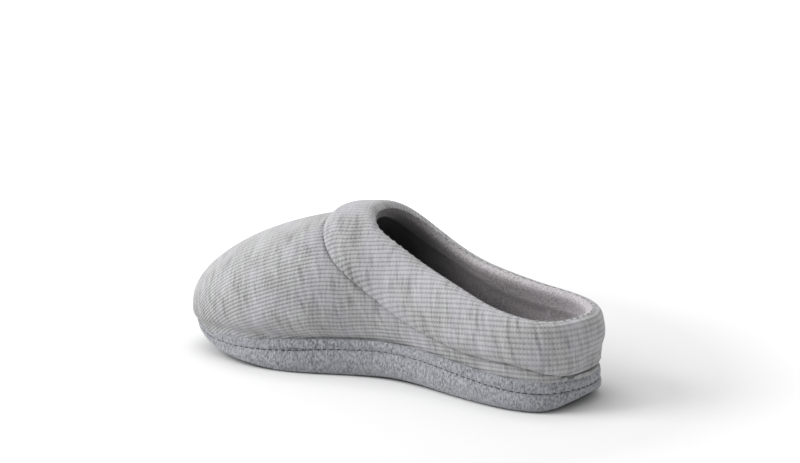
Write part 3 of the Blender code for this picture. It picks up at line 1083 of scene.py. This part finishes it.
STRIP_FOLDS = (
    Fold(((-0.030, -0.119, 0.0165), (-0.010, -0.131, 0.016)), width=0.0011, height=-0.0007),
    Fold(((-0.008, -0.1315, 0.0175), (0.009, -0.132, 0.015)), width=0.0012, height=-0.0009),
    Fold(((-0.0305, -0.060, 0.018), (-0.033, -0.076, 0.0165)), width=0.0012, height=-0.0005),
)
PLATFORM_FOLDS = (
    Fold(((-0.033, -0.113, 0.0095), (-0.018, -0.1275, 0.010)), width=0.0013, height=-0.0006),
    Fold(((-0.010, -0.131, 0.0085), (0.008, -0.1315, 0.010)), width=0.0013, height=-0.0008),
)


@dataclass
class Creases:
    """Lays folds on the pieces."""

    gauge: FormGauge

    def lines(self, fold: Fold, tree: BVHTree) -> list[np.ndarray]:
        """Snap a fold to the piece's CAD form.

        Args:
            fold: The fold.
            tree: The form's search tree.

        Returns:
            The fold's line, and its line on the other side if it is paired.
        """
        sides = [[Vector(p) for p in fold.points]]
        if fold.paired:
            middles = [float(self.gauge.middle(p.y)) for p in sides[0]]
            sides.append([Vector((2 * m - p.x, p.y, p.z)) for m, p in zip(middles, sides[0])])
        return [np.array([tree.find_nearest(p)[0] for p in side]) for side in sides]

    def lay(self, mesh: bpy.types.Mesh, tree: BVHTree, folds: Iterable[Fold]) -> None:
        """Push a mesh in or out along its normals by all its folds.

        Args:
            mesh: The mesh to change.
            tree: Search tree of the piece's CAD form.
            folds: The folds.
        """
        points = coords(mesh)
        push = np.zeros(len(points))
        for fold in folds:
            for line in self.lines(fold, tree):
                away = np.full(len(points), np.inf)
                for start, end in zip(line[:-1], line[1:]):
                    along = end - start
                    share = ((points - start) @ along / (along @ along)).clip(0, 1)
                    gap = np.linalg.norm(points - start - share[:, None] * along, axis=1)
                    away = np.minimum(away, gap)
                push += fold.height * np.exp(-((away / fold.width) ** 2))
        swell(mesh, push)


def finished(
    name: str,
    mesh: bpy.types.Mesh,
    material: bpy.types.Material,
    stands_for: Iterable[str] = (),
    thickness: float = 0.0,
) -> bpy.types.Object:
    """Turn a mesh into a finished piece of the slipper.

    Args:
        name: The piece's name.
        mesh: Its mesh, in place.
        material: Its finish.
        stands_for: The CAD nodes that it replaces.
        thickness: The cloth's thickness, inwards from its face, if it has one.

    Returns:
        The object, riding on the slipper.
    """
    mesh.materials.clear()
    mesh.materials.append(material)
    mesh.shade_smooth()
    made = linked(name, mesh)
    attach(made, BODY)
    if stands_for:
        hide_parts(*stands_for)
    if thickness:
        solid = made.modifiers.new("thickness", "SOLIDIFY")
        solid.thickness = thickness
        solid.offset = -1
        solid.use_even_offset = False
    log.info("%s: %d faces", name, len(mesh.polygons))
    return made


@dataclass
class KnitUpper:
    """The rib-knit vamp and quarters."""

    shells: Shells
    lay: RibLay
    creases: Creases
    levels: int = 2
    thickness: float = 0.0012
    tuck_depth: float = 0.0012
    tuck_reach: float = 0.0036
    toe_from: float = 0.025
    toe_to: float = 0.085
    toe_fill: float = 0.0014
    tip_to: float = 0.122
    tip_fill: float = 0.0034
    heel_to: float = -0.095
    heel_over: float = 0.030
    heel_fill: float = 0.0013
    back_from: float = -0.118
    back_over: float = 0.012
    back_draw: float = 0.0012
    edge_height: float = 0.0160
    edge_span: float = 0.0095

    def build(self, material: bpy.types.Material) -> None:
        """Make the outer knit from the outer faces of the upper's wall.

        Args:
            material: The knit's finish.
        """
        shells = self.shells
        bm = copy_of("upper")
        keep_faces(bm, shells.faces_out)
        keep_faces(bm, lambda face: not all(shells.covered(v.co, shells.TOUCH) for v in face.verts))
        mesh = subdivided(bm, self.levels, "upper_knit")
        self.lay.write_map(mesh)
        self.creases.lay(mesh, shells.upper_tree, VAMP_FOLDS)
        self.tuck(mesh)
        self.fill_ends(mesh)
        finished("upper_knit", mesh, material, ["upper"], self.thickness)

    def tuck(self, mesh: bpy.types.Mesh) -> None:
        """Draw the knit in where the band lies over it, so that the band's edge stays clear.

        Args:
            mesh: The knit's mesh.
        """
        tree = self.shells.band_tree
        gaps = np.array([tree.find_nearest(Vector(p))[3] for p in coords(mesh)])
        swell(mesh, -self.tuck_depth * np.clip(1 - gaps / self.tuck_reach, 0, 1))

    def fill_ends(self, mesh: bpy.types.Mesh) -> None:
        """Fill the knit out over the strip round the toe and heel, and draw it in at the back.

        Args:
            mesh: The knit's mesh.
        """
        points = coords(mesh)
        out = normals(mesh)
        out[:, 2] = 0
        out /= np.maximum(np.linalg.norm(out, axis=1), MERGE)[:, None]
        ahead = smoothstep((points[:, 1] - self.toe_from) / (self.toe_to - self.toe_from))
        tip = smoothstep((points[:, 1] - self.toe_to) / (self.tip_to - self.toe_to))
        heel = smoothstep((self.heel_to - points[:, 1]) / self.heel_over)
        back = smoothstep((self.back_from - points[:, 1]) / self.back_over)
        fill = self.toe_fill * ahead + self.tip_fill * tip
        fill += self.heel_fill * heel - self.back_draw * back
        push = fill * np.exp(-(((points[:, 2] - self.edge_height) / self.edge_span) ** 2))
        put_coords(mesh, points + push[:, None] * out)


@dataclass
class CollarBand:
    """The padded knit band round the opening."""

    shells: Shells
    lay: RibLay
    creases: Creases
    levels: int = 2
    thickness: float = 0.0010
    fill: float = 0.8

    def build(self, material: bpy.types.Material) -> np.ndarray:
        """Make the band's knit from its showing faces up to the crest.

        Args:
            material: The knit's finish.

        Returns:
            Points round the crest.
        """
        shells = self.shells
        bm = copy_of("collar_band")
        keep_faces(
            bm,
            lambda face: shells.clear_of_upper(face, shells.TOUCH) and not shells.past_crest(face),
        )
        crest = np.array([v.co for v in open_loops(bm)[-1]])
        mesh = subdivided(bm, self.levels, "collar_knit")
        self.lay.write_map(mesh)
        self.creases.lay(mesh, shells.band_tree, BAND_FOLDS)
        piece = finished(
            "collar_knit", mesh, material, ["collar_band"], self.thickness
        )
        return crest


@dataclass
class Lining:
    """The brushed lining, from the band's crest down to the footbed."""

    shells: Shells
    levels: int = 2
    thickness: float = 0.0008

    def build(self, material: bpy.types.Material) -> None:
        """Join the band's inner faces to the upper's inner wall.

        Args:
            material: The lining's finish.
        """
        shells = self.shells
        bm = copy_of("collar_band")
        keep_faces(
            bm,
            lambda face: shells.clear_of_upper(face, shells.LIP_STAND) and shells.past_crest(face),
        )
        wall = copy_of("upper")
        keep_faces(wall, shells.faces_in)
        cover = shells.LIP_COVER
        keep_faces(wall, lambda face: not any(shells.covered(v.co, cover) for v in face.verts))
        part = to_mesh(wall, "wall")
        bm.from_mesh(part)
        bpy.data.meshes.remove(part)
        bm.normal_update()
        middle = {v for ring in open_loops(bm)[1:-1] for v in ring}
        edges = [e for e in bm.edges if e.is_boundary and all(v in middle for v in e.verts)]
        bmesh.ops.bridge_loops(bm, edges=edges)
        bmesh.ops.recalc_face_normals(bm, faces=bm.faces)
        mesh = subdivided(bm, self.levels, "lining_pile")
        finished("lining_pile", mesh, material, thickness=self.thickness)


@dataclass
class PlushSole:
    """The plush-wrapped platform and the strip above its stitched seam."""

    creases: Creases
    levels: int = 3
    pile: float = 0.00022
    pile_size: float = 0.0013
    corner: float = 0.72
    plump: float = 0.00025
    seam_height: float = 0.0165
    drop_from: float = 0.020
    drop_to: float = 0.088
    toe_drop: float = 0.0034
    rise_from: float = 0.100
    rise_to: float = 0.128
    tip_rise: float = 1.5
    tip_centre: float = 0.085
    tip_bulge: float = 0.0027
    bulge_from: float = 0.007
    bulge_to: float = 0.018
    heel_centre: float = -0.095
    heel_from: float = -0.118
    heel_over: float = 0.012
    heel_draw: float = 0.0015

    def build(self, material: bpy.types.Material) -> None:
        """Make the platform and the strip with a raised pile.

        Args:
            material: The plush's finish.
        """
        for node, folds in (("platform", PLATFORM_FOLDS), ("strip", STRIP_FOLDS)):
            bm = copy_of(node)
            tree = BVHTree.FromBMesh(bm)
            crease_corners(bm, self.corner)
            mesh = subdivided(bm, self.levels, node + "_pile", pulls=0)
            self.creases.lay(mesh, tree, folds)
            put_coords(mesh, self.shaped(coords(mesh)))
            self.raise_pile(mesh)
            finished(node + "_pile", mesh, material, [node])

    def shaped(self, points: np.ndarray) -> np.ndarray:
        """Fit the plush to the photo's outline, above a sole that stays put.

        The seams sink towards the front of the ball and rise again round the tip, where
        the plush bulges, and the heel's plush is drawn in.

        Args:
            points: Rows of positions.

        Returns:
            The rows moved.
        """
        y, z = points[:, 1], points[:, 2]
        ahead = smoothstep((y - self.drop_from) / (self.drop_to - self.drop_from))
        tip = smoothstep((y - self.rise_from) / (self.rise_to - self.rise_from))
        share = np.clip(z / self.seam_height, 0, 1)
        moved = points.copy()
        moved[:, 2] -= self.toe_drop * ahead * (1 - self.tip_rise * tip) * share
        high = smoothstep((z - self.bulge_from) / (self.bulge_to - self.bulge_from))
        heel = smoothstep((self.heel_from - y) / self.heel_over)
        for centre, push in (
            (self.tip_centre, self.tip_bulge * tip * high),
            (self.heel_centre, -self.heel_draw * heel * share),
        ):
            out = points[:, :2] - (self.creases.gauge.middle(centre), centre)
            out /= np.maximum(np.linalg.norm(out, axis=1), MERGE)[:, None]
            moved[:, :2] += push[:, None] * out
        return moved

    def raise_pile(self, mesh: bpy.types.Mesh) -> None:
        """Lift the loops of the pile with a fixed noise.

        Args:
            mesh: The plush's mesh.
        """
        lift = np.array([noise.noise(Vector(p) / self.pile_size) for p in coords(mesh)])
        swell(mesh, self.plump + self.pile * lift)


@dataclass
class Footbed:
    """The padded insole."""

    levels: int = 2
    fill: float = 0.9

    def build(self, material: bpy.types.Material) -> None:
        """Make the footbed from its CAD solid.

        Args:
            material: The footbed's finish.
        """
        mesh = subdivided(copy_of("insole"), self.levels, "footbed")
        piece = finished("footbed", mesh, material, ["insole"])


@dataclass
class Stitches:
    """Single stitches along a closed seam."""

    UNDERSIDE: ClassVar[float] = -0.85

    name: str
    slot: Slot
    pitch: float
    length: float
    radius: float
    stand: float
    lift: float = 0.0
    centre_y: float = -0.03

    def build(self, ring: np.ndarray, material: bpy.types.Material) -> None:
        """Lay one stitch at each step round the seam.

        Args:
            ring: Points round the seam.
            material: The thread's finish.
        """
        closed = np.vstack([ring, ring[:1]])
        lengths = np.append(0, np.cumsum(np.linalg.norm(np.diff(closed, axis=0), axis=1)))
        count = round(lengths[-1] / self.pitch)
        bm = bmesh.new()
        for at in np.arange(count) * lengths[-1] / count:
            ends = [
                Vector([np.interp(s % lengths[-1], lengths, closed[:, axis]) for axis in range(3)])
                for s in (at - self.length / 2, at + self.length / 2)
            ]
            along = (ends[1] - ends[0]).normalized()
            middle = (ends[0] + ends[1]) / 2
            out = Vector((along.y, -along.x, 0)).normalized()
            out *= 1 if out.to_2d().dot(middle.to_2d() - Vector((0, self.centre_y))) > 0 else -1
            turn = Matrix((along, out, along.cross(out))).transposed().to_4x4()
            middle += self.stand * out + Vector((0, 0, self.lift))
            shape = Matrix.Diagonal((self.length / 2, self.radius, self.radius, 1))
            matrix = Matrix.Translation(middle) @ turn @ shape
            bmesh.ops.create_icosphere(bm, subdivisions=2, radius=1, matrix=matrix)
        finished(self.name, to_mesh(bm, self.name), material)

    @classmethod
    def sole_seam(cls) -> np.ndarray:
        """Find the seam between the strip's underside and its outer side.

        Returns:
            Points round the seam.
        """
        bm = copy_of("strip")
        edges = []
        for edge in bm.edges:
            if len(edge.link_faces) == 2:
                low, side = sorted(edge.link_faces, key=lambda face: face.normal.z)
                outward = side.normal.to_2d().dot(side.calc_center_median().to_2d())
                if low.normal.z < cls.UNDERSIDE < side.normal.z and outward > 0:
                    edges.append(edge)
        points = np.array([v.co for v in max(rings(edges), key=len)])
        bm.free()
        return points


class Outsole:
    """The rubber sheet that the slipper stands on."""

    def build(self, material: bpy.types.Material) -> None:
        """Give the CAD node its finish.

        Args:
            material: The rubber's finish.
        """
        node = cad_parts["outsole"]
        node.data.materials.clear()
        node.data.materials.append(material)


@dataclass(frozen=True)
class Lamp:
    """A square soft light, and how far right of, nearer than and above the slipper it is."""

    name: str
    right: float
    near: float
    up: float
    size: float
    power: float


@dataclass
class Studio:
    """Pale floor, soft light and the camera at the photo's angle."""

    azimuth: float = -56.0
    elevation: float = 15.8
    distance: float = 1.55
    target: tuple[float, float, float] = (0.0, 0.0, 0.025)
    image_width: int = 800
    image_height: int = 463
    target_column: float = 397.2
    target_row: float = 326.5
    pixels_per_metre: float = 1695.0
    sensor: float = 36.0
    clip_end: float = 50.0
    floor_size: float = 8.0
    floor_grey: float = 0.72
    floor_roughness: float = 0.9
    glow: float = 0.6
    glow_from: float = 0.19
    glow_over: float = 0.26
    sky: float = 0.62
    lamps: tuple[Lamp, ...] = (
        Lamp("key", right=-1.3, near=0.15, up=0.95, size=0.9, power=19.5),
        Lamp("top", right=-0.3, near=-0.1, up=1.6, size=1.2, power=12),
    )

    def build(self) -> None:
        """Set the stage."""
        self.floor()
        self.camera()
        self.lights()
        bpy.context.scene.view_settings.view_transform = "Standard"

    def axes(self) -> tuple[Vector, Vector, Vector]:
        """Work out the photo's view of the slipper.

        Returns:
            Its right, up and back directions.
        """
        a, e = math.radians(self.azimuth), math.radians(self.elevation)
        back = Vector((math.sin(a) * math.cos(e), -math.cos(a) * math.cos(e), math.sin(e)))
        right = Vector((math.cos(a), math.sin(a), 0))
        return right, back.cross(right), back

    def stand(self, name: str, data: bpy.types.ID, place: Vector, aim: Vector) -> bpy.types.Object:
        """Set up a camera or a light.

        Args:
            name: The object's name.
            data: The camera or light.
            place: Where it stands.
            aim: The point that it looks at.

        Returns:
            The object.
        """
        made = linked(name, data)
        made.location = place
        made.rotation_euler = (aim - place).to_track_quat("-Z", "Y").to_euler()
        return made

    def floor(self) -> None:
        """Lay a wide pale floor under the sole, which turns white further off."""
        bm = bmesh.new()
        bmesh.ops.create_grid(bm, x_segments=1, y_segments=1, size=self.floor_size)
        mesh = to_mesh(bm, "floor")
        board = Board("floor_paper")
        away = board.node("ShaderNodeVectorMath", {"operation": "LENGTH"}, {0: board.place()}, 1)
        ramp = ((away - self.glow_from) / self.glow_over).limited()
        inputs = {
            "Base Color": (*(self.floor_grey,) * 3, 1),
            "Roughness": self.floor_roughness,
            "Emission Strength": 1.0,
            "Emission Color": board.blend(ramp, (0.0,) * 3, (self.glow,) * 3),
        }
        board.plug(board.shader, inputs)
        mesh.materials.append(board.material)
        made = linked("floor", mesh)

    def camera(self) -> None:
        """Aim so that the target falls on its place in the photo."""
        right, up, back = self.axes()
        focal = self.pixels_per_metre * self.distance
        target = Vector(self.target)
        column = (self.image_width / 2 - self.target_column) / focal * self.distance
        row = (self.target_row - self.image_height / 2) / focal * self.distance
        aim = target + column * right + row * up
        data = bpy.data.cameras.new("camera")
        data.sensor_width = self.sensor
        data.lens = focal * self.sensor / self.image_width
        data.clip_end = self.clip_end
        made = self.stand("camera", data, target + self.distance * back, aim)
        bpy.context.scene.camera = made

    def lights(self) -> None:
        """Set up the large soft lights and an even sky."""
        right, _, back = self.axes()
        level = Vector((back.x, back.y, 0)).normalized()
        for lamp in self.lamps:
            data = bpy.data.lights.new(lamp.name, "AREA")
            data.size = lamp.size
            data.energy = lamp.power
            place = lamp.right * right + lamp.near * level + Vector((0, 0, lamp.up))
            self.stand(lamp.name, data, place, Vector((0, 0, 0)))
        world = bpy.data.worlds.new("sky")
        world.use_nodes = True
        sky = world.node_tree.nodes["Background"]
        sky.inputs["Color"].default_value = (1, 1, 1, 1)
        sky.inputs["Strength"].default_value = self.sky
        bpy.context.scene.world = world


def main() -> None:
    """Build the slipper's pieces in order and set the stage."""
    logging.basicConfig(level=logging.INFO, format="%(message)s")
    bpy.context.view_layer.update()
    knit = KnitFinish().material("rib_knit")
    gauge = FormGauge("upper")
    lay = RibLay(gauge)
    log.info("ribs: %s", {side.name: count for side, count in lay.ribs.items()})
    shells = Shells(gauge)
    creases = Creases(gauge)
    KnitUpper(shells, lay, creases).build(knit)
    crest = CollarBand(shells, lay, creases).build(knit)
    Lining(shells).build(LINING_PLUSH.material("lining_plush"))
    sole = PlushSole(creases)
    sole.build(SOLE_PLUSH.material("sole_plush"))
    Footbed().build(FOOTBED_PLUSH.material("footbed_plush"))
    lock = Stitches("lockstitch", Slot.PLUSH, 0.0042, length=0.0024, radius=0.00042, stand=0.0002)
    # Its near-black thread is painted shade of the seam's groove.
    lock.build(sole.shaped(Stitches.sole_seam()), THREAD_IN_PAINTED_SHADE.material("thread_in_painted_shade"))
    rim = Stitches(
        "rim_stitch", Slot.KNIT, 0.0052, length=0.0022, radius=0.0003, stand=0.0001, lift=0.0002
    )
    rim.build(crest, GREY_THREAD.material("grey_thread"))
    Outsole().build(RUBBER.material("outsole_rubber"))
    Studio().build()


if __name__ == "__main__":
    main()
